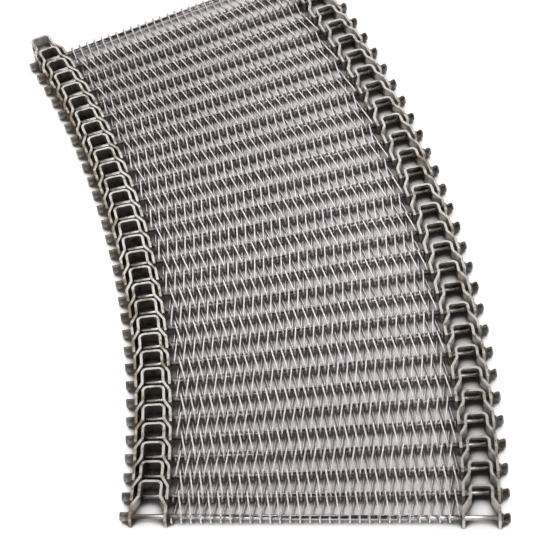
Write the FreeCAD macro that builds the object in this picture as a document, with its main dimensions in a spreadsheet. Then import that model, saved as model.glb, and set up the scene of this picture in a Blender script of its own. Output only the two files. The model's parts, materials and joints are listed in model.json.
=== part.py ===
import FreeCAD, Part
import math
import os
import Sketcher

Vector = FreeCAD.Vector
Rotation = FreeCAD.Rotation

# A turn-curve wire mesh conveyor belt, in millimetres. It is a chain of rows.
# A row is a round cross rod with a slotted U link of upright strip welded to each end.
# The open end of each link takes in the nose of the link behind, and each nose carries the next rod.
# A flattened wire spiral winds round each pair of neighbouring rods and makes the carrying face.
# Rods run along X, the belt runs along Y, and the links stand on Z = 0.

SIZES = (
    ("row_count", "30", "rods in this length of belt"),
    ("pitch", "27.4", "rod to rod at the outside link, where the belt is pulled tight"),
    ("turn_angle", "1.014", "degrees that each rod is turned from the one before it"),
    ("link_spacing", "294", "middle of the inside link to middle of the outside link"),
    ("rod_diameter", "4.9", "cross rod"),
    ("strip_thickness", "2.5", "thickness of the strip that a link is bent from"),
    ("strip_height", "12", "height of that strip, which stands on its edge"),
    ("nose_width", "22", "outside width of the closed end of a link"),
    ("mouth_width", "34", "outside width of the open end of a link"),
    ("inner_nose_overhang", "9.3", "how far an inside nose reaches past the next rod at that pitch"),
    ("outer_nose_overhang", "5.9", "how far an outside nose reaches past it"),
    ("leg_tail", "7.6", "how far the open legs run past their own rod"),
    ("joggle_length", "11", "length over which a leg steps outwards"),
    ("nose_corner", "5", "outside radius of the bends at the nose"),
    ("slot_play", "0.4", "room in front of the rod when the belt is tight"),
    ("slot_travel", "6.4", "how far a rod can slide back in its slot"),
    ("slot_margin", "0.2", "strip left flat between the slot and the step"),
    ("running_clearance", "0.3", "gap round a rod in its slot and in the wire loops"),
    ("inner_head_diameter", "8.3", "rod head on the inside edge"),
    ("inner_head_length", "8.3", "its length past the link"),
    ("outer_head_diameter", "9.6", "rod head on the outside edge"),
    ("outer_head_length", "8.6", "its length past the link"),
    ("outer_head_bevel", "2", "its bevelled rim"),
    ("wire_diameter", "1.6", "spiral wire"),
    ("loop_spacing", "8.75", "from one loop of a spiral to the next"),
    ("mesh_inset", "2.1", "least room from a link to the middle of the nearest wire"),
)

# The wire is drawn with three flat sides and the section area of the round wire.
WIRE_SIDES = 3
# The first spirals are wound to the right, and after them left-hand and right-hand ones take turns.
RIGHT_HAND_START = 2

# Sizes that follow from the sheet, each written once for all the pieces that share it.
HALF_NOSE = "size.nose_width / 2"
HALF_MOUTH = "size.mouth_width / 2"
SLOT_HALF = "(size.rod_diameter / 2 + size.running_clearance)"
SLOT_FRONT = "(size.pitch + size.slot_play)"
SLOT_BACK = "(size.pitch + size.slot_play - size.slot_travel)"
STEP_FRONT = f"({SLOT_BACK} - {SLOT_HALF} - size.slot_margin)"
STEP_BACK = f"({STEP_FRONT} - size.joggle_length)"
STEP_SLOPE = "atan((size.mouth_width - size.nose_width) / 2 / size.joggle_length)"
MITRE = f"(size.strip_thickness / 2 * tan({STEP_SLOPE} / 2))"
# The flats of a half octagon meet this far to the side of its middle, as a share of its radius.
OCTAGON_SHARE = "tan(22.5)"


def add_sheet(doc):
    """The spreadsheet that holds every driving size under its name."""
    sheet = doc.addObject("Spreadsheet::Sheet", "size")
    for line, (name, value, meaning) in enumerate(SIZES, start=1):
        sheet.set(f"A{line}", meaning)
        sheet.set(f"B{line}", value)
        sheet.setAlias(f"B{line}", name)
    doc.recompute()
    return sheet


def origin_plane(body, role):
    """One of a body's own origin planes."""
    return next(plane for plane in body.Origin.OriginFeatures if plane.Role == role)


def outline_sketch(body, name, role, corners):
    """A closed sketch of straight edges, each corner tied to its pair of expressions."""
    sketch = body.newObject("Sketcher::SketchObject", name)
    sketch.AttachmentSupport = [(origin_plane(body, role), "")]
    sketch.MapMode = "FlatFace"
    places = [Vector(*(float(sketch.evalExpression(value)) for value in corner), 0) for corner in corners]
    for place, after in zip(places, places[1:] + places[:1]):
        sketch.addGeometry(Part.LineSegment(place, after), False)
    origin, start, end = -1, 1, 2
    for index, corner in enumerate(corners):
        before = (index - 1) % len(corners)
        sketch.addConstraint(Sketcher.Constraint("Coincident", before, end, index, start))
        for kind, value in zip(("DistanceX", "DistanceY"), corner):
            now = float(sketch.evalExpression(value))
            number = sketch.addConstraint(Sketcher.Constraint(kind, origin, start, index, start, now))
            sketch.setExpression(f"Constraints[{number}]", value)
    return sketch


def nose_corner_edges(shape, half_width, front, tolerance=0.01):
    """The upright edges at the two corners of a nose, named as the fillet wants them."""
    names = []
    for number, edge in enumerate(shape.Edges, start=1):
        low, high = edge.Vertexes[0].Point, edge.Vertexes[-1].Point
        upright = abs(low.x - high.x) < tolerance and abs(low.y - high.y) < tolerance
        at_corner = abs(abs(low.x) - half_width) < tolerance and abs(low.y - front) < tolerance
        if upright and at_corner:
            names.append(f"Edge{number}")
    return names


def round_nose(body, base, name, half_width, front, radius):
    """Bend the two nose corners of a link, outside or inside, to an arc."""
    across, along = (float(base.evalExpression(value)) for value in (half_width, front))
    fillet = body.newObject("PartDesign::Fillet", name)
    fillet.Base = (base, nose_corner_edges(base.Shape, across, along))
    fillet.setExpression("Radius", radius)
    return fillet


def add_link(doc, name, overhang):
    """One U link about its own rod: a bent strip on edge, with a slot through both nose legs."""
    body = doc.addObject("PartDesign::Body", name)
    nose_front = f"(size.pitch + {overhang})"
    outside = [
        (f"{HALF_MOUTH}", "-size.leg_tail"),
        (f"{HALF_MOUTH}", f"{STEP_BACK} + {MITRE}"),
        (f"{HALF_NOSE}", f"{STEP_FRONT} + {MITRE}"),
        (f"{HALF_NOSE}", nose_front),
    ]
    inside = [
        (f"{HALF_NOSE} - size.strip_thickness", f"{nose_front} - size.strip_thickness"),
        (f"{HALF_NOSE} - size.strip_thickness", f"{STEP_FRONT} - {MITRE}"),
        (f"{HALF_MOUTH} - size.strip_thickness", f"{STEP_BACK} - {MITRE}"),
        (f"{HALF_MOUTH} - size.strip_thickness", "-size.leg_tail"),
    ]
    other_outside, other_inside = (
        [(f"-({across})", along) for across, along in reversed(leg)] for leg in (outside, inside)
    )
    outline = outline_sketch(
        body, "link_outline", "XY_Plane", outside + other_outside + other_inside + inside
    )
    strip = body.newObject("PartDesign::Pad", "strip")
    strip.Profile = outline
    strip.SideType = "Symmetric"
    strip.setExpression("Length", "size.strip_height")
    doc.recompute()
    bent = round_nose(body, strip, "outside_bends", HALF_NOSE, nose_front, "size.nose_corner")
    doc.recompute()
    bent = round_nose(
        body,
        bent,
        "inside_bends",
        f"{HALF_NOSE} - size.strip_thickness",
        f"{nose_front} - size.strip_thickness",
        "size.nose_corner - size.strip_thickness",
    )
    doc.recompute()
    slot = outline_sketch(
        body,
        "slot_outline",
        "YZ_Plane",
        [
            (f"{SLOT_FRONT} + {SLOT_HALF}", f"-{SLOT_HALF} * {OCTAGON_SHARE}"),
            (f"{SLOT_FRONT} + {SLOT_HALF}", f"{SLOT_HALF} * {OCTAGON_SHARE}"),
            (f"{SLOT_FRONT} + {SLOT_HALF} * {OCTAGON_SHARE}", f"{SLOT_HALF}"),
            (f"{SLOT_BACK} - {SLOT_HALF} * {OCTAGON_SHARE}", f"{SLOT_HALF}"),
            (f"{SLOT_BACK} - {SLOT_HALF}", f"{SLOT_HALF} * {OCTAGON_SHARE}"),
            (f"{SLOT_BACK} - {SLOT_HALF}", f"-{SLOT_HALF} * {OCTAGON_SHARE}"),
            (f"{SLOT_BACK} - {SLOT_HALF} * {OCTAGON_SHARE}", f"-{SLOT_HALF}"),
            (f"{SLOT_FRONT} + {SLOT_HALF} * {OCTAGON_SHARE}", f"-{SLOT_HALF}"),
        ],
    )
    slots = body.newObject("PartDesign::Pocket", "slots")
    slots.Profile = slot
    slots.Type = "Length"
    slots.SideType = "Symmetric"
    slots.setExpression("Length", "size.nose_width * 1.5")
    doc.recompute()
    return body


def add_round(doc, name, kind, start, length, **radii):
    """A cylinder or cone along X, from start for length, with its radii tied to expressions."""
    piece = doc.addObject(kind, name)
    piece.Placement = FreeCAD.Placement(Vector(0, 0, 0), Rotation(Vector(0, 1, 0), 90))
    piece.setExpression(".Placement.Base.x", start)
    piece.setExpression("Height", length)
    for radius, value in radii.items():
        piece.setExpression(radius, value)
    return piece


def add_row(doc):
    """One welded row about its rod's middle line, with X = 0 at the middle of its outside link."""
    outside_link = add_link(doc, "outside_link", "size.outer_nose_overhang")
    inside_link = add_link(doc, "inside_link", "size.inner_nose_overhang")
    inside_link.setExpression(".Placement.Base.x", "-size.link_spacing")
    inside_seat = f"(-size.link_spacing - {HALF_MOUTH})"
    outside_seat = f"({HALF_MOUTH})"
    rod_length = f"{outside_seat} - {inside_seat}"
    outer_bevel_start = f"({outside_seat} + size.outer_head_length - size.outer_head_bevel)"
    pieces = [
        outside_link,
        inside_link,
        add_round(doc, "rod", "Part::Cylinder", inside_seat, rod_length, Radius="size.rod_diameter / 2"),
        add_round(doc, "inner_head", "Part::Cylinder", f"{inside_seat} - size.inner_head_length",
                  "size.inner_head_length", Radius="size.inner_head_diameter / 2"),
        add_round(doc, "outer_head", "Part::Cylinder", outside_seat, f"{outer_bevel_start} - {outside_seat}",
                  Radius="size.outer_head_diameter / 2"),
        add_round(doc, "outer_bevel", "Part::Cone", outer_bevel_start, "size.outer_head_bevel",
                  Radius1="size.outer_head_diameter / 2",
                  Radius2="size.outer_head_diameter / 2 - size.outer_head_bevel"),
    ]
    row = doc.addObject("Part::MultiFuse", "welded_row")
    row.Shapes = pieces
    row.Refine = True
    return row


def wire_path(sheet, hand):
    """The middle line of one spiral, half way between its two rods, as a list of corners.

    It has as many loops as fit between the links. The two hands are mirror images, so they share
    their places on both rods: whole steps on the rod behind and half steps on the rod in front.
    Neighbours so lie half a step apart on a rod.
    """
    lift = sheet.rod_diameter / 2 + sheet.running_clearance + sheet.wire_diameter / 2
    reach = sheet.pitch / 2 + lift
    room = sheet.link_spacing - sheet.mouth_width - 2 * sheet.mesh_inset
    loop_count = math.floor(room / sheet.loop_spacing)
    outside_end = -sheet.mouth_width / 2 - sheet.mesh_inset
    inside_end = outside_end - loop_count * sheet.loop_spacing
    start = outside_end if hand > 0 else inside_end
    step = -hand * sheet.loop_spacing
    corners = [Vector(start, -reach, 0)]
    for loop in range(loop_count):
        across = start + loop * step
        corners += [
            Vector(across, -reach, lift),
            Vector(across + step / 2, reach, lift),
            Vector(across + step / 2, reach, -lift),
            Vector(across + step, -reach, -lift),
        ]
    corners.append(Vector(corners[-1].x, -reach, 0))
    return corners


def wire_ring(corner, radius, hand):
    """The points round the wire at one corner of its path, the first of them away from the rod."""
    up = math.copysign(1, corner.z) if corner.z else 0
    outward = Vector(0, math.copysign(1, corner.y), up)
    ring = []
    for side in range(WIRE_SIDES):
        angle = hand * math.tau * side / WIRE_SIDES
        ring.append(corner + outward * (radius * math.cos(angle)) + Vector(radius * math.sin(angle), 0, 0))
    return ring


def wire_solid(corners, diameter, hand):
    """A flat-sided wire along straight runs, as heavy as the round wire, with a flat towards each rod."""
    area = math.pi * diameter**2 / 4
    radius = math.sqrt(2 * area / (WIRE_SIDES * math.sin(math.tau / WIRE_SIDES)))
    rings = [wire_ring(corner, radius, hand) for corner in corners]
    outlines = [rings[0], rings[-1]]
    for here, there in zip(rings, rings[1:]):
        for side in range(WIRE_SIDES):
            after = (side + 1) % WIRE_SIDES
            outlines.append([here[side], here[after], there[after]])
            outlines.append([here[side], there[after], there[side]])
    faces = [Part.Face(Part.makePolygon(outline + outline[:1])) for outline in outlines]
    solid = Part.Solid(Part.Shell(faces))
    if solid.Volume < 0:
        solid.reverse()
    return solid


def add_spiral(doc, sheet, name, hand):
    """A spiral wound to the right (1) or to the left (-1)."""
    spiral = doc.addObject("Part::Feature", name)
    spiral.Shape = wire_solid(wire_path(sheet, hand), sheet.wire_diameter, hand)
    return spiral


def add_copy(doc, name, source, placement):
    """A sub-part of the belt: one copy of a row or spiral, with a placement of its own."""
    copy = doc.addObject("Part::Compound", name)
    copy.Links = [source]
    copy.setExpression("Placement", placement)
    return copy


def turned_step(share):
    """The placement that goes a share of the way from one rod to the next, along the outside edge."""
    half_turn = "(size.turn_angle / 2)"
    forward = f"size.pitch * {share}"
    place = f"vector(-sin{half_turn} * {forward}; cos{half_turn} * {forward}; 0)"
    return f"placement({place}; rotation(vector(0; 0; 1); size.turn_angle * {share}))"


def add_belt(doc, sheet):
    """Every row and spiral, each placed from the row before it."""
    row = add_row(doc)
    spirals = [add_spiral(doc, sheet, "right_hand_spiral", 1), add_spiral(doc, sheet, "left_hand_spiral", -1)]
    doc.recompute()
    count = int(sheet.row_count)
    anchor = doc.addObject("Part::Compound", "belt_start")
    anchor.Links = [row]
    pieces = []
    before = anchor.Name
    for number in range(1, count + 1):
        step = turned_step(1 if number > 1 else 0)
        pieces.append(add_copy(doc, f"row_{number:02d}", row, f"{before}.Placement * {step}"))
        before = pieces[-1].Name
        if number < count:
            left_hand = number > RIGHT_HAND_START and number % 2 == 1
            half_way = f"{before}.Placement * {turned_step(0.5)}"
            pieces.append(add_copy(doc, f"spiral_{number:02d}", spirals[left_hand], half_way))
    # the middle row is square to the belt's frame, and the whole belt is centred over the origin
    anchor.Placement.Rotation = Rotation(Vector(0, 0, 1), -sheet.turn_angle * (count - 1) / 2)
    doc.recompute()
    box = FreeCAD.BoundBox()
    for piece in pieces:
        box.add(piece.Shape.optimalBoundingBox(False, False))
    anchor.Placement.Base = Vector(-box.Center.x, -box.Center.y, -box.ZMin)
    doc.recompute()
    return pieces


def check(doc, pieces):
    """Stop if any object failed, or if a sub-part isn't one sound solid."""
    failed = [thing.Label for thing in doc.Objects if {"Invalid", "Error"} & set(thing.State)]
    for piece in pieces:
        shape = piece.Shape
        if shape.isNull() or not shape.isValid() or len(shape.Solids) != 1 or shape.Volume <= 0:
            failed.append(piece.Label)
    if failed:
        raise RuntimeError(f"these objects failed: {failed}")


def main():
    """Build the document, check it and write one STEP file for each sub-part."""
    doc = FreeCAD.newDocument("mesh_belt")
    sheet = add_sheet(doc)
    pieces = add_belt(doc, sheet)
    check(doc, pieces)
    os.makedirs("parts", exist_ok=True)
    for piece in pieces:
        piece.Shape.Solids[0].exportStep(os.path.join("parts", f"{piece.Label}.step"))
    box = FreeCAD.BoundBox()
    for piece in pieces:
        box.add(piece.Shape.BoundBox)
    print(f"{len(pieces)} sub-parts, {box.XLength:.1f} x {box.YLength:.1f} x {box.ZLength:.1f} mm")


main()
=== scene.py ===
# %% [markdown]
# # A wire mesh conveyor belt, dressed for its picture
# The belt is a chain of thirty rows. A row is a round steel rod with a U shaped link of upright strip
# welded to each end, and a flattened wire spiral lies between each two rods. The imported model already
# has every piece at its true place, so this script only gives them their real surfaces: round wire,
# bent strip with soft edges, forged rod heads and weld beads, and then the steel, the light and the camera.

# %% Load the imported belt
import json
import math

import bmesh
import bpy
import numpy as np
from mathutils import Matrix, Vector, noise


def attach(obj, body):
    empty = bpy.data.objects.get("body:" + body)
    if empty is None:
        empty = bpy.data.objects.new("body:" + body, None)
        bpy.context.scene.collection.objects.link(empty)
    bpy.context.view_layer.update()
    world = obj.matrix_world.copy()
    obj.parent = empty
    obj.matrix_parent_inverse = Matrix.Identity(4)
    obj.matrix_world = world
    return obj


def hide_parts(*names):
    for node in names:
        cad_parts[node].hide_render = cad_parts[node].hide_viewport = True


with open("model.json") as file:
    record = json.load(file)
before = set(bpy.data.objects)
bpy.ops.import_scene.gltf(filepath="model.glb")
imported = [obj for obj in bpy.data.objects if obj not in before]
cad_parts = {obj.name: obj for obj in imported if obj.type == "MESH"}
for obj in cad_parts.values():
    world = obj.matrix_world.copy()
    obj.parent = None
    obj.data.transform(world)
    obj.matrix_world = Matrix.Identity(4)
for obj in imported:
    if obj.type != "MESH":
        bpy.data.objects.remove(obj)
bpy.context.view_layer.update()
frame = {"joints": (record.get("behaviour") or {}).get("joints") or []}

# %% [markdown]
# ## Where the rows are
# The belt lies in a gentle left-hand curve, so each row is turned a little from the one before it.
# Nothing needs to be typed in for that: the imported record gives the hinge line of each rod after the
# first. A matrix for each row follows from its rod's middle and direction, and the first row is one
# step back from the second. Each detailed piece is made once about its own rod and put in place
# with its row's matrix.

# %% Row frames from the rod hinges
MM = 0.001
LINK_SPACING = 294 * MM

hinges = frame["joints"]


def row_matrix(middle, direction):
    """The frame of a row: X along its rod to the outside, Z up, zero at the outside link."""
    along_rod = Vector(direction).normalized()
    forward = Vector((0, 0, 1)).cross(along_rod)
    matrix = Matrix((along_rod, forward, (0, 0, 1))).transposed().to_4x4()
    matrix.translation = Vector(middle) + along_rod * LINK_SPACING / 2
    return matrix


row_frames = [row_matrix(hinge["pos_m"], hinge["axis"]) for hinge in hinges]
one_row_on = row_frames[0].inverted() @ row_frames[1]
row_frames.insert(0, row_frames[0] @ one_row_on.inverted())
ROWS = len(row_frames)
PITCH = one_row_on.translation.length
TURN = one_row_on.to_euler().z
print(ROWS, "rows, pitch", round(PITCH / MM, 2), "mm, turned", round(math.degrees(TURN), 3), "degrees each")

# %% [markdown]
# ## Sizes
# These are the sizes of the real pieces, in metres. The rod, strip and wire sizes repeat those of the
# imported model. What lies against another piece takes its place from the same values. A nose reaches
# further past its rod on the inside of the turn than on the outside.

# %% Driving sizes
ROD_RADIUS = 4.9 / 2 * MM
STRIP_THICKNESS = 2.5 * MM
STRIP_HEIGHT = 12 * MM
HALF_NOSE = 22 / 2 * MM
HALF_MOUTH = 34 / 2 * MM
OUTSIDE_NOSE = PITCH + 5.9 * MM
INSIDE_NOSE = PITCH + 9.3 * MM
LEG_END = -7.6 * MM
RUNNING_CLEARANCE = 0.3 * MM
SLOT_HALF = ROD_RADIUS + RUNNING_CLEARANCE
SLOT_FRONT = PITCH + 0.4 * MM
SLOT_BACK = SLOT_FRONT - 6.4 * MM
JOGGLE_FRONT = SLOT_BACK - SLOT_HALF - 0.2 * MM
JOGGLE_BACK = JOGGLE_FRONT - 11 * MM
WIRE_RADIUS = 0.8 * MM
LOOP_SPACING = 8.75 * MM
MESH_INSET = 2.1 * MM
INNER_HEAD_RADIUS = 8.3 / 2 * MM
INNER_HEAD_LENGTH = 8.3 * MM
OUTER_HEAD_RADIUS = 9.6 / 2 * MM
OUTER_HEAD_LENGTH = 8.6 * MM
print("slot from", round(SLOT_BACK / MM, 2), "to", round(SLOT_FRONT / MM, 2), "mm ahead of a row's own rod")

# %% [markdown]
# ## Making and placing a piece
# All the pieces are plain meshes made from lists of points and faces, which is the surest way to give
# each one exactly the size it has on the belt. One helper turns the lists into a mesh with smooth
# shading. The other moves a copy of a mesh to its row and makes it an object that rides on that row's
# body, so that it turns with the row when the belt bends. The place is kept in the mesh itself.

# %% Helpers for every piece
scene = bpy.context.scene


def new_mesh(name, points, faces):
    """A mesh with smooth faces from points in metres."""
    mesh = bpy.data.meshes.new(name)
    mesh.from_pydata([tuple(point) for point in points], [], faces)
    form = bmesh.new()
    form.from_mesh(mesh)
    bmesh.ops.recalc_face_normals(form, faces=form.faces)
    form.to_mesh(mesh)
    form.free()
    mesh.shade_smooth()
    return mesh


def place_piece(name, mesh, matrix, row, material, node):
    """A copy of a mesh, moved to its row's frame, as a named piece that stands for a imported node."""
    placed = mesh.copy()
    placed.name = name
    placed.transform(matrix)
    placed.materials.clear()
    placed.materials.append(material)
    piece = bpy.data.objects.new(name, placed)
    scene.collection.objects.link(piece)
    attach(piece, f"section_{row:02d}")
    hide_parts(node)


def place_in_row(kind, mesh, matrix, row, material):
    """One of the pieces that are welded together as a row: rod, heads, links and welds."""
    place_piece(f"{kind}_{row:02d}", mesh, matrix, row, material, f"row_{row:02d}")


print("pieces go into the scene called", scene.name)

# %% [markdown]
# ## Steel finishes
# The links, rods and heads are carbon steel with a dull, slightly warm grey. The strip keeps a soft
# shine on its sheared edges, the heads and welds are darker, and thin brown films sit here and there.
# The spiral wire is drawn, so it is the brightest thing in the picture. Each finish mixes a clean
# colour with a stain through a noise in object space, and a much finer noise gives the grain of the
# roughness and of the bump. A random value for each object shifts both noises, so no two rows wear alike.
# A mesh may also carry a value in its points that adds to the stain; where it has none, it counts as 0.

# %% Small helpers for shader nodes
def arithmetic(tree, operation, first, second):
    """The result of a maths node that takes two sockets, or a socket and a number."""
    sums = tree.nodes.new("ShaderNodeMath")
    sums.operation = operation
    tree.links.new(first, sums.inputs[0])
    if isinstance(second, float):
        sums.inputs[1].default_value = second
    else:
        tree.links.new(second, sums.inputs[1])
    return sums.outputs[0]


def fine_noise(tree, place, scale, detail, roughness=0.5):
    """A smooth noise from 0 to 1 at a place in space."""
    texture = tree.nodes.new("ShaderNodeTexNoise")
    texture.inputs["Scale"].default_value = scale
    texture.inputs["Detail"].default_value = detail
    texture.inputs["Roughness"].default_value = roughness
    tree.links.new(place, texture.inputs["Vector"])
    return texture.outputs["Fac"]


def mapped(tree, value, taken, given, smooth=False):
    """A value whose range `taken` is stretched to the range `given`, and held at its ends."""
    stretch = tree.nodes.new("ShaderNodeMapRange")
    stretch.interpolation_type = "SMOOTHSTEP" if smooth else "LINEAR"
    stretch.inputs["From Min"].default_value, stretch.inputs["From Max"].default_value = taken
    stretch.inputs["To Min"].default_value, stretch.inputs["To Max"].default_value = given
    tree.links.new(value, stretch.inputs["Value"])
    return stretch.outputs["Result"]


def mixed(tree, share, first, second):
    """The first colour where the share is 0, and the second where it is 1."""
    mix = tree.nodes.new("ShaderNodeMix")
    mix.data_type = "RGBA"
    mix.inputs["A"].default_value = (*first, 1)
    mix.inputs["B"].default_value = (*second, 1)
    tree.links.new(share, mix.inputs["Factor"])
    return mix.outputs["Result"]


print("a share of 0.5 in a mix lies halfway between its two colours")

# %% A worn steel material
OBJECT_SPREAD = 7.0
PATCH_SCALE = 90
STAIN_STARTS, STAIN_IS_FULL = 0.72, 0.86
SMOOTHER, ROUGHER = 0.1, 0.14
RELIEF_DEPTH = 0.1 * MM


def shifted_place(tree):
    """Object coordinates, moved by a random amount that each object has for its own."""
    place = tree.nodes.new("ShaderNodeTexCoord").outputs["Object"]
    own = tree.nodes.new("ShaderNodeObjectInfo").outputs["Random"]
    shift = tree.nodes.new("ShaderNodeVectorMath")
    shift.operation = "ADD"
    tree.links.new(place, shift.inputs[0])
    tree.links.new(arithmetic(tree, "MULTIPLY", own, OBJECT_SPREAD), shift.inputs[1])
    return shift.outputs[0]


def worn_steel(name, clean, stain, stain_share, roughness, grain_scale, bump):
    """Steel with stained patches, whose roughness and surface vary with a fine grain."""
    material = bpy.data.materials.new(name)
    material.use_nodes = True
    tree = material.node_tree
    shader = tree.nodes["Principled BSDF"]
    shader.inputs["Metallic"].default_value = 1.0
    place = shifted_place(tree)

    patches = fine_noise(tree, place, PATCH_SCALE, 5, 0.65)
    # a value stored in the points, towards the outer legs of the links, adds to the stain
    leg_tint = tree.nodes.new("ShaderNodeAttribute")
    leg_tint.attribute_name = "leg_tint"
    patches_and_leg_tint = arithmetic(tree, "ADD", patches, leg_tint.outputs["Fac"])
    stained = mapped(tree, patches_and_leg_tint, (STAIN_STARTS - stain_share, STAIN_IS_FULL - stain_share), (0, 1))
    tree.links.new(mixed(tree, stained, clean, stain), shader.inputs["Base Color"])

    grain = fine_noise(tree, place, grain_scale, 4)
    rough = mapped(tree, grain, (0, 1), (roughness - SMOOTHER, roughness + ROUGHER))
    tree.links.new(rough, shader.inputs["Roughness"])
    relief = tree.nodes.new("ShaderNodeBump")
    relief.inputs["Strength"].default_value = bump
    relief.inputs["Distance"].default_value = RELIEF_DEPTH
    tree.links.new(grain, relief.inputs["Height"])
    tree.links.new(relief.outputs["Normal"], shader.inputs["Normal"])
    return material


print("stains fade in over", round(STAIN_IS_FULL - STAIN_STARTS, 2), "of the noise's range")

# %% The six finishes
strip_steel = worn_steel("strip_steel", clean=(0.62, 0.59, 0.56), stain=(0.26, 0.21, 0.15),
                         stain_share=0.22, roughness=0.42, grain_scale=1400, bump=0.3)
rod_steel = worn_steel("rod_steel", clean=(0.50, 0.48, 0.47), stain=(0.30, 0.27, 0.23),
                       stain_share=0.2, roughness=0.24, grain_scale=1600, bump=0.12)
stub_steel = worn_steel("rod_stub", clean=(0.42, 0.40, 0.37), stain=(0.24, 0.21, 0.17),
                        stain_share=0.25, roughness=0.58, grain_scale=1200, bump=0.4)
wire_steel = worn_steel("drawn_wire", clean=(0.83, 0.765, 0.775), stain=(0.65, 0.59, 0.58),
                        stain_share=0.2, roughness=0.32, grain_scale=2200, bump=0.08)
head_steel = worn_steel("forged_head", clean=(0.24, 0.23, 0.22), stain=(0.13, 0.11, 0.09),
                        stain_share=0.28, roughness=0.5, grain_scale=1100, bump=0.6)
weld_steel = worn_steel("weld_bead", clean=(0.24, 0.22, 0.20), stain=(0.14, 0.11, 0.07),
                        stain_share=0.30, roughness=0.52, grain_scale=1300, bump=0.6)
finishes = (strip_steel, rod_steel, stub_steel, wire_steel, head_steel, weld_steel)
print("steel finishes:", [finish.name for finish in finishes])

# %% [markdown]
# ## The links
# A link is one strip on edge, bent to a U. Its closed nose goes into the open mouth of the link in
# front and carries the next rod in a long slot. The outline is the strip's middle line: straight legs,
# two gentle bends where each leg steps outwards, and two tighter bends at the nose. The strip is swept
# along that line as a solid, the slot is cut with a Boolean, and a small bevel softens the sheared
# edges so that they catch light the way the real ones do.

# %% A line with rounded corners
BEND_STEPS = 7


def rounded_line(corners, radii):
    """The points of a line whose corners are bent to arcs of the given radii."""
    points = [Vector(corners[0])]
    for before, corner, after, radius in zip(corners, corners[1:], corners[2:], radii):
        corner = Vector(corner)
        back = (Vector(before) - corner).normalized()
        on = (Vector(after) - corner).normalized()
        half = back.angle(on) / 2
        reach = radius / math.tan(half)
        centre = corner + (back + on).normalized() * (radius / math.sin(half))
        start = (corner + back * reach - centre).normalized()
        end = (corner + on * reach - centre).normalized()
        for step in range(BEND_STEPS + 1):
            points.append(centre + start.slerp(end, step / BEND_STEPS) * radius)
    points.append(Vector(corners[-1]))
    return points


print("a bend is", BEND_STEPS, "short straight steps")


# %% The bent strip
JOGGLE_RADIUS = 5 * MM
NOSE_RADIUS = 6 * MM - STRIP_THICKNESS / 2


def strip_solid(line, thickness, height):
    """A strip on edge along a flat line, as points and faces."""
    points, faces = [], []
    for index, at in enumerate(line):
        before, after = line[max(index - 1, 0)], line[min(index + 1, len(line) - 1)]
        way = (after - before).normalized()
        side = Vector((way.y, -way.x)) * thickness / 2
        for across, up in ((1, -1), (1, 1), (-1, 1), (-1, -1)):
            place = at + side * across
            points.append((place.x, place.y, up * height / 2))
    for index in range(len(line) - 1):
        for corner in range(4):
            after = (corner + 1) % 4
            here, there = index * 4, index * 4 + 4
            faces.append((here + corner, here + after, there + after, there + corner))
    faces.append((3, 2, 1, 0))
    last = len(points) - 4
    faces.append((last, last + 1, last + 2, last + 3))
    return points, faces


def bent_strip(name, nose_front):
    """The strip of one link, bent but not yet slotted, whose nose ends at the given distance."""
    mouth_middle, nose_middle = HALF_MOUTH - STRIP_THICKNESS / 2, HALF_NOSE - STRIP_THICKNESS / 2
    right_leg = [(mouth_middle, LEG_END), (mouth_middle, JOGGLE_BACK), (nose_middle, JOGGLE_FRONT),
                 (nose_middle, nose_front - STRIP_THICKNESS / 2)]
    corners = right_leg + [(-x, y) for x, y in reversed(right_leg)]
    radii = [JOGGLE_RADIUS, JOGGLE_RADIUS, NOSE_RADIUS, NOSE_RADIUS, JOGGLE_RADIUS, JOGGLE_RADIUS]
    return new_mesh(name, *strip_solid(rounded_line(corners, radii), STRIP_THICKNESS, STRIP_HEIGHT))


outside_strip = bent_strip("outside_link", OUTSIDE_NOSE)
inside_strip = bent_strip("inside_link", INSIDE_NOSE)
print("link strip:", len(outside_strip.polygons), "faces before the slot")

# %% Cut the slots and soften the edges
SLOT_STEPS = 10
EDGE_ROUND = 0.35 * MM
SHARP_EDGE = math.radians(40)


def slot_cutter():
    """A bar with round edges, right through both legs of a nose."""
    reach = HALF_NOSE * 1.5
    outline = []
    for centre, first in ((SLOT_FRONT, -90), (SLOT_BACK, 90)):
        for step in range(SLOT_STEPS + 1):
            angle = math.radians(first + 180 * step / SLOT_STEPS)
            outline.append((centre + SLOT_HALF * math.cos(angle), SLOT_HALF * math.sin(angle)))
    count = len(outline)
    points = [(x, y, z) for x in (-reach, reach) for y, z in outline]
    faces = [(i, (i + 1) % count, count + (i + 1) % count, count + i) for i in range(count)]
    faces += [tuple(reversed(range(count))), tuple(range(count, 2 * count))]
    return new_mesh("slot_cutter", points, faces)


def shaped(mesh, cutter):
    """The mesh with the cutter's shape taken out and its sharp edges rounded."""
    body = bpy.data.objects.new("shaping", mesh)
    tool = bpy.data.objects.new("cutting", cutter)
    for thing in (body, tool):
        scene.collection.objects.link(thing)
    cut = body.modifiers.new("slots", "BOOLEAN")
    cut.operation = "DIFFERENCE"
    cut.object = tool
    soft = body.modifiers.new("edges", "BEVEL")
    soft.width = EDGE_ROUND
    soft.segments = 2
    soft.limit_method = "ANGLE"
    soft.angle_limit = SHARP_EDGE
    soft.harden_normals = True
    bpy.context.view_layer.update()
    result = bpy.data.meshes.new_from_object(body.evaluated_get(bpy.context.evaluated_depsgraph_get()))
    for thing in (body, tool):
        bpy.data.objects.remove(thing)
    return result


outside_mesh = shaped(outside_strip, slot_cutter())
inside_mesh = shaped(inside_strip, slot_cutter())
print("slotted links:", len(outside_mesh.polygons), "and", len(inside_mesh.polygons), "faces")
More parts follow.
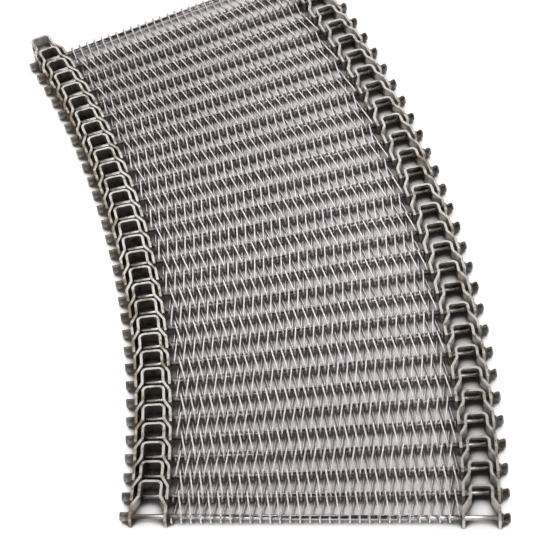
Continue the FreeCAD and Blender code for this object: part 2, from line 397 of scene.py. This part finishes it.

# %% [markdown]
# ## Browner outer legs
# The legs at the belt's two edges are darker and browner than the ones beside the mesh, most of all
# on the inside of the turn. A value is stored in each point of a link's mesh, from none on the leg
# beside the mesh to its most at the outer leg, and the steel reads it as extra stain.

# %% Extra stain in the points of the links
# extra stain towards the outer legs, most on the inside of the turn
OUTSIDE_LEG_TINT, INSIDE_LEG_TINT = 0.03, 0.13
UNTINTED_SIDE = HALF_NOSE * 0.8
for mesh, outward, most in ((outside_mesh, 1, OUTSIDE_LEG_TINT), (inside_mesh, -1, INSIDE_LEG_TINT)):
    layer = mesh.attributes.new("leg_tint", "FLOAT", "POINT")
    for number, vertex in enumerate(mesh.vertices):
        share = (vertex.co.x * outward - UNTINTED_SIDE) / (HALF_MOUTH - UNTINTED_SIDE)
        layer.data[number].value = most * min(max(share, 0), 1)
print("grime on the outer legs:", OUTSIDE_LEG_TINT, "outside and", INSIDE_LEG_TINT, "inside")

# %% Place a pair of links on every row
TO_INSIDE = Matrix.Translation((-LINK_SPACING, 0, 0))
for row, matrix in enumerate(row_frames, start=1):
    place_in_row("outside_link", outside_mesh, matrix, row, strip_steel)
    place_in_row("inside_link", inside_mesh, matrix @ TO_INSIDE, row, strip_steel)
print("links placed:", 2 * ROWS)

# %% [markdown]
# ## Rods and their heads
# A rod is plain round bar between the links. On the inside of the turn its end is upset to a short
# stub. On the outside the end is a larger knob that was forged hot, so no two are the same. Both
# are turned shapes: a profile of distances along the rod and radii is spun round the rod's axis,
# and the outside knobs are then pushed about by a smooth noise.

# %% Turned shapes
ROUND_SIDES = 28


def turned(profile, sides=ROUND_SIDES):
    """Points and faces of a profile of (distance, radius) pairs spun round the rod's axis."""
    points, faces = [], []
    for along, radius in profile:
        for side in range(sides):
            angle = math.tau * side / sides
            points.append((along, radius * math.cos(angle), radius * math.sin(angle)))
    for ring in range(len(profile) - 1):
        for side in range(sides):
            after = (side + 1) % sides
            here, there = ring * sides, (ring + 1) * sides
            faces.append((here + side, there + side, there + after, here + after))
    faces.append(tuple(range(sides)))
    last = len(points) - sides
    faces.append(tuple(last + side for side in reversed(range(sides))))
    return points, faces


def pushed_about(points, amount, scale, seed):
    """Points moved by a smooth noise, a different one for each seed."""
    moved = []
    for point in points:
        place = Vector(point)
        push = noise.noise_vector(place / scale + Vector((seed * 3.7, seed * 1.3, 0)))
        moved.append(place + push * amount)
    return moved


# this library starts from the clock, so it is told where to start: each run then gives the same lumps
LUMP_START = 1
noise.seed_set(LUMP_START)

SEATED = 0.2 * MM
inside_seat = -LINK_SPACING - HALF_MOUTH
rod_profile = [(inside_seat + SEATED, ROD_RADIUS), (HALF_MOUTH - SEATED, ROD_RADIUS)]
rod_mesh = new_mesh("rod", *turned(rod_profile))
for face in rod_mesh.polygons:
    face.use_smooth = len(face.vertices) == 4
print("rod length, mm:", round((HALF_MOUTH - inside_seat) / MM - 2 * SEATED / MM, 1))

# %% The shapes of stub and knob
STUB_EDGE = 0.5 * MM
stub_end = inside_seat - INNER_HEAD_LENGTH
stub_profile = [
    (stub_end, 0.4 * MM),
    (stub_end, INNER_HEAD_RADIUS - STUB_EDGE),
    (stub_end + STUB_EDGE * 0.3, INNER_HEAD_RADIUS - STUB_EDGE * 0.3),
    (stub_end + STUB_EDGE, INNER_HEAD_RADIUS),
    (stub_end + INNER_HEAD_LENGTH * 0.5, INNER_HEAD_RADIUS * 0.99),
    (inside_seat - 0.1 * MM, INNER_HEAD_RADIUS * 0.97),
]
stub_mesh = new_mesh("stub", *turned(stub_profile))

KNOB_SHAPE = ((0, 0.78), (0.15, 0.70), (0.32, 0.74), (0.5, 0.88), (0.68, 1.0), (0.82, 1.0), (0.92, 0.88),
              (0.98, 0.62), (1.0, 0.2))
KNOB_LENGTH = OUTER_HEAD_LENGTH * 0.96
KNOB_LUMPS, LUMP_SCALE = 0.55 * MM, 4 * MM


def knob(seed):
    """The forged head on the outside of one row, a little larger or smaller from row to row."""
    largest = OUTER_HEAD_RADIUS * (0.93 + 0.05 * math.sin(seed * 2.4))
    profile = [(HALF_MOUTH + share * KNOB_LENGTH, radius * largest) for share, radius in KNOB_SHAPE]
    points, faces = turned(profile)
    return new_mesh(f"knob_{seed:02d}", pushed_about(points, KNOB_LUMPS, LUMP_SCALE, seed), faces)


print("knob length, mm:", round(KNOB_LENGTH / MM, 2))

# %% Place rods, stubs and knobs
for row, matrix in enumerate(row_frames, start=1):
    place_in_row("rod", rod_mesh, matrix, row, rod_steel)
    place_in_row("inside_stub", stub_mesh, matrix, row, stub_steel)
    place_in_row("outside_knob", knob(row), matrix, row, head_steel)
print("rods and heads placed:", 3 * ROWS)

# %% [markdown]
# ## Weld beads
# Each rod is welded where it passes through the wide mouth of a link. The bead on the outside runs down
# the leg as a tapering tail, and the ones beside the mesh are small collars. A bead is a ball drawn out
# along the leg, flattened against it and roughened by noise. The three beads of a row are one mesh.

# %% A lump of weld
BEAD_RINGS = 12
BEAD_SIDES = 20
TAIL_TAPER = 0.45
BLUNT_END = 0.02
BEAD_GRAIN = 2.5 * MM


def bead(centre, ahead, behind, across, up, roughness, seed):
    """A ball with its own reach ahead of the rod and behind it, as points and faces."""
    points, faces = [], []
    for ring in range(BEAD_RINGS + 1):
        lean = math.pi * ring / BEAD_RINGS
        along = math.cos(lean)
        reach = ahead if along > 0 else behind
        taper = 1.0 if along > 0 else 1.0 - TAIL_TAPER * abs(along)
        thin = (math.sin(lean) + BLUNT_END) * taper
        for side in range(BEAD_SIDES):
            angle = math.tau * side / BEAD_SIDES
            points.append(Vector((
                centre.x + across * thin * math.cos(angle),
                centre.y + reach * along,
                centre.z + up * thin * math.sin(angle),
            )))
    for ring in range(BEAD_RINGS):
        for side in range(BEAD_SIDES):
            after = (side + 1) % BEAD_SIDES
            here, there = ring * BEAD_SIDES, (ring + 1) * BEAD_SIDES
            faces.append((here + side, here + after, there + after, there + side))
    faces.append(tuple(reversed(range(BEAD_SIDES))))
    last = len(points) - BEAD_SIDES
    faces.append(tuple(last + side for side in range(BEAD_SIDES)))
    return pushed_about(points, roughness, BEAD_GRAIN, seed), faces


def joined(parts):
    """Several lists of points and faces as one."""
    points, faces = [], []
    for some_points, some_faces in parts:
        start = len(points)
        points += list(some_points)
        faces += [tuple(start + corner for corner in face) for face in some_faces]
    return points, faces


print("a bead has", BEAD_RINGS, "rings of", BEAD_SIDES, "points")

# %% Three beads on each row
def tail_bead(row):
    """The bead outside the outer leg, with a tail that differs a little from row to row."""
    tail = 6.3 * MM * (1 + 0.1 * math.sin(row * 1.9))
    return bead(Vector((HALF_MOUTH + 0.4 * MM, 0, 0)), ahead=4.6 * MM, behind=tail, across=2.6 * MM,
                up=4.6 * MM, roughness=0.4 * MM, seed=row)


def collar_bead(leg_face, seed):
    """The small bead on the side of a leg that faces the mesh."""
    return bead(Vector((leg_face, -0.3 * MM, 0)), ahead=3.0 * MM, behind=3.6 * MM, across=0.9 * MM,
                up=3.4 * MM, roughness=0.25 * MM, seed=seed)


for row, matrix in enumerate(row_frames, start=1):
    beads = [
        tail_bead(row),
        collar_bead(-HALF_MOUTH, row + 40),
        collar_bead(HALF_MOUTH - LINK_SPACING, row + 80),
    ]
    place_in_row("welds", new_mesh(f"weld_{row:02d}", *joined(beads)), matrix, row, weld_steel)
print("weld beads placed:", 3 * ROWS)

# %% [markdown]
# ## The wire spirals
# A spiral is one wire wound flat round two rods: a leg over the top, a half turn round the rod in
# front, a leg underneath and a half turn round the rod behind. Right-hand and left-hand spirals take
# turns along the belt, apart from the first one, and neighbours sit half a loop apart, so their bends
# interleave on the rod that they share. A real spiral is never perfectly even, so its line wanders
# about a tenth of a millimetre to either side from bend to bend.

# %% The line of a spiral
LIFT = ROD_RADIUS + RUNNING_CLEARANCE + WIRE_RADIUS
LEG_STEPS = 12
HALF_TURN_STEPS = 8
BEND_SPREAD = 9
WANDER_ACROSS, WANDER_ALONG = 0.16 * MM, 0.12 * MM
room = LINK_SPACING - 2 * HALF_MOUTH - 2 * MESH_INSET
LOOPS = math.floor(room / LOOP_SPACING + 1e-6)


def loop_line():
    """One loop, seen along the rods, as (share of the loop's step, distance along the belt, height)."""
    half_pitch = PITCH / 2
    line = []
    for step in range(LEG_STEPS):
        share = step / LEG_STEPS
        line.append((0.5 * share, -half_pitch + PITCH * share, LIFT))
    for step in range(HALF_TURN_STEPS):
        angle = math.pi * step / HALF_TURN_STEPS
        line.append((0.5, half_pitch + LIFT * math.sin(angle), LIFT * math.cos(angle)))
    for step in range(LEG_STEPS):
        share = step / LEG_STEPS
        line.append((0.5 + 0.5 * share, half_pitch - PITCH * share, -LIFT))
    for step in range(HALF_TURN_STEPS):
        angle = math.pi * step / HALF_TURN_STEPS
        line.append((1.0, -half_pitch - LIFT * math.sin(angle), -LIFT * math.cos(angle)))
    return np.array(line)


def spiral_line(hand, seed):
    """The middle line of a whole spiral about the middle between its two rods."""
    loop = loop_line()
    outside_end = -HALF_MOUTH - MESH_INSET
    start = outside_end if hand > 0 else outside_end - LOOPS * LOOP_SPACING
    lines = []
    for number in range(LOOPS):
        across = start - hand * LOOP_SPACING * (number + loop[:, 0])
        lines.append(np.column_stack([across, loop[:, 1], loop[:, 2]]))
    line = np.vstack(lines)
    # the wire turns sideways gently: its sideways place is smoothed over the points beside it
    window = np.hanning(BEND_SPREAD)
    padded = np.pad(line[:, 0], BEND_SPREAD // 2, mode="edge")
    line[:, 0] = np.convolve(padded, window / window.sum(), mode="valid")
    spread = np.random.default_rng(seed)
    for axis, amount in ((0, WANDER_ACROSS), (1, WANDER_ALONG)):
        knots = spread.normal(0, amount, LOOPS * 2 + 2)
        places = np.linspace(0, LOOPS * 2 + 1, len(line))
        line[:, axis] += np.interp(places, np.arange(len(knots)), knots)
    return line


print("a spiral has", LOOPS, "loops in", round(room / MM, 1), "mm")

# %% A round wire along a line
WIRE_SIDES = 8


def wire_tube(line):
    """Points and faces of a round wire along a line."""
    way = np.gradient(line, axis=0)
    way /= np.linalg.norm(way, axis=1)[:, None]
    side = np.cross(way, np.array([1.0, 0, 0]))
    side /= np.linalg.norm(side, axis=1)[:, None]
    other = np.cross(way, side)
    angles = math.tau * np.arange(WIRE_SIDES) / WIRE_SIDES
    sideways = np.cos(angles)[None, :, None] * side[:, None, :]
    upwards = np.sin(angles)[None, :, None] * other[:, None, :]
    points = (line[:, None, :] + WIRE_RADIUS * (sideways + upwards)).reshape(-1, 3)
    faces = []
    for ring in range(len(line) - 1):
        here, there = ring * WIRE_SIDES, (ring + 1) * WIRE_SIDES
        for corner in range(WIRE_SIDES):
            after = (corner + 1) % WIRE_SIDES
            faces.append((here + corner, here + after, there + after, there + corner))
    faces.append(tuple(reversed(range(WIRE_SIDES))))
    last = len(points) - WIRE_SIDES
    faces.append(tuple(last + corner for corner in range(WIRE_SIDES)))
    return points, faces


print("the wire has", WIRE_SIDES, "sides, shaded as round")

# %% Wind and place the spirals
half_row_on = Matrix.Translation((-math.sin(TURN / 2) * PITCH / 2, math.cos(TURN / 2) * PITCH / 2, 0))
half_row_on = half_row_on @ Matrix.Rotation(TURN / 2, 4, "Z")
for number in range(1, ROWS):
    hand = -1 if number % 2 == 1 and number > 1 else 1
    wire_mesh = new_mesh(f"spiral_wire_{number:02d}", *wire_tube(spiral_line(hand, number)))
    middle = row_frames[number - 1] @ half_row_on
    place_piece(f"wire_spiral_{number:02d}", wire_mesh, middle, number, wire_steel,
                f"spiral_{number:02d}")
print(ROWS - 1, "spirals of", LOOPS, "loops,", 2 * len(wire_mesh.polygons), "triangles each")

# %% [markdown]
# ## The floor
# The belt lies on a plain floor that is white in the picture, while the gaps of the mesh are dark. An
# ambient occlusion node tells the two apart: it measures how much of the sky each point of the floor
# sees past the belt. Where that is little, the paint itself is dark: this is painted shade under the
# belt and close beside it, added to the shadows that the lamps cast. Where the floor is open, the paint
# is pale, and a glow that only the camera, gloss and glass see lifts it to white, so that it puts no
# light on the belt. The glow fades out where the paint darkens, so it paints the same shade. The node
# follows the belt by itself when the belt bends.

# %% A pale floor with painted shade under the belt
PAINT = (0.9, 0.9, 0.9)
# painted shade: the floor's own paint colour where the belt closes it in, under and beside the belt
PAINTED_SHADE_COLOUR = (0.225, 0.2, 0.203)
GLOW = 0.7
OPEN_REACH = 40 * MM
CLOSED, OPEN = 0.36, 0.62
FLOOR_REACH = 30.0


def floor_material():
    """Paint and glow that both darken where the belt closes the floor in to the sky: painted shade."""
    material = bpy.data.materials.new("floor_with_painted_shade")
    material.use_nodes = True
    tree = material.node_tree
    tree.nodes.remove(tree.nodes["Principled BSDF"])
    sky = tree.nodes.new("ShaderNodeAmbientOcclusion")
    sky.inputs["Distance"].default_value = OPEN_REACH
    # 0 where the belt closes the floor in: there the paint darkens and the glow goes, which is painted shade
    open_share = mapped(tree, sky.outputs["AO"], (CLOSED, OPEN), (0, 1), smooth=True)
    paint = tree.nodes.new("ShaderNodeBsdfDiffuse")
    tree.links.new(mixed(tree, open_share, PAINTED_SHADE_COLOUR, PAINT), paint.inputs["Color"])

    ray = tree.nodes.new("ShaderNodeLightPath")
    seen = ray.outputs["Is Camera Ray"]
    for kind in ("Is Glossy Ray", "Is Transmission Ray"):
        seen = arithmetic(tree, "MAXIMUM", seen, ray.outputs[kind])
    strength = arithmetic(tree, "MULTIPLY", arithmetic(tree, "MULTIPLY", seen, open_share), GLOW)
    glow = tree.nodes.new("ShaderNodeEmission")
    tree.links.new(strength, glow.inputs["Strength"])
    both = tree.nodes.new("ShaderNodeAddShader")
    tree.links.new(paint.outputs["BSDF"], both.inputs[0])
    tree.links.new(glow.outputs["Emission"], both.inputs[1])
    tree.links.new(both.outputs["Shader"], tree.nodes["Material Output"].inputs["Surface"])
    return material


corners = [(x * FLOOR_REACH, y * FLOOR_REACH, 0) for x, y in ((-1, -1), (1, -1), (1, 1), (-1, 1))]
floor_mesh = bpy.data.meshes.new("floor")
floor_mesh.from_pydata(corners, [], [(0, 1, 2, 3)])
floor_mesh.materials.append(floor_material())
floor = bpy.data.objects.new("floor", floor_mesh)
scene.collection.objects.link(floor)
print("floor, metres across:", 2 * FLOOR_REACH)

# %% [markdown]
# ## The light
# Bright steel shows its surroundings, so each lamp is placed for what it is mirrored in. The box behind
# the belt stands as high as the camera and is seen in the flat top edges of the links. The two low ones at
# its sides are seen along the wires' top legs. The two at the front sides are seen in the wires' front
# bends, which carries each bright stroke past its rod, while the rods stay darker. The world adds little.

# %% Lamps and world
WORLD_STRENGTH = 0.04


def soft_box(name, azimuth, elevation, distance, width, height, power):
    """A rectangular lamp that faces the belt; azimuth 0 is behind it and 90 is its outside."""
    lamp = bpy.data.lights.new(name, "AREA")
    lamp.shape = "RECTANGLE"
    lamp.size, lamp.size_y = width, height
    lamp.energy = power
    thing = bpy.data.objects.new(name, lamp)
    scene.collection.objects.link(thing)
    turn, rise = math.radians(azimuth), math.radians(elevation)
    towards = Vector((math.sin(turn) * math.cos(rise), math.cos(turn) * math.cos(rise), math.sin(rise)))
    thing.location = towards * distance
    thing.rotation_mode = "QUATERNION"
    thing.rotation_quaternion = towards.to_track_quat("Z", "Y")
    print(name, "of", power, "watts")


soft_box("back_box", azimuth=0, elevation=47, distance=2.6, width=2.2, height=0.8, power=19)
soft_box("left_box", azimuth=-64, elevation=14, distance=2.2, width=2.2, height=0.5, power=12)
soft_box("right_box", azimuth=64, elevation=14, distance=2.2, width=2.2, height=0.5, power=14)
soft_box("left_front_box", azimuth=-115, elevation=20, distance=2.2, width=2.0, height=0.8, power=17)
soft_box("right_front_box", azimuth=115, elevation=20, distance=2.2, width=2.0, height=0.8, power=19)
world = bpy.data.worlds.new("studio")
world.use_nodes = True
background = world.node_tree.nodes["Background"]
background.inputs["Color"].default_value = (1, 1, 1, 1)
background.inputs["Strength"].default_value = WORLD_STRENGTH
scene.world = world

# %% [markdown]
# ## The camera
# The camera stands where a fit of the 56 link windows that the photograph shows puts it: above the near
# end, on the inside of the turn, looking down at about 47 degrees. The picture is 550 pixels square,
# so the lens is the fitted focal length in pixels, turned to millimetres of a 36 mm sensor.

# %% Camera at the photograph's place
CAMERA_PLACE = Vector((-201.4, -1502.1, 1530.4)) * MM
CAMERA_YAW, CAMERA_TILT, CAMERA_ROLL = 8.06, 46.518, -5.12
FOCAL_PIXELS = 2156.7
PICTURE_PIXELS = 550
SENSOR = 36.0

yaw, tilt, roll = (math.radians(angle) for angle in (CAMERA_YAW, CAMERA_TILT, CAMERA_ROLL))
looking = Vector((math.sin(yaw) * math.cos(tilt), math.cos(yaw) * math.cos(tilt), -math.sin(tilt)))
level_right = looking.cross(Vector((0, 0, 1))).normalized()
level_up = level_right.cross(looking)
picture_right = level_right * math.cos(roll) + level_up * math.sin(roll)
picture_up = level_up * math.cos(roll) - level_right * math.sin(roll)

lens = bpy.data.cameras.new("camera")
lens.sensor_width = SENSOR
lens.lens = FOCAL_PIXELS / PICTURE_PIXELS * SENSOR
camera = bpy.data.objects.new("camera", lens)
scene.collection.objects.link(camera)
stand = Matrix((picture_right, picture_up, -looking)).transposed().to_4x4()
stand.translation = CAMERA_PLACE
camera.matrix_world = stand
scene.camera = camera
scene.view_settings.view_transform = "Standard"
print("lens", round(lens.lens, 1), "mm")
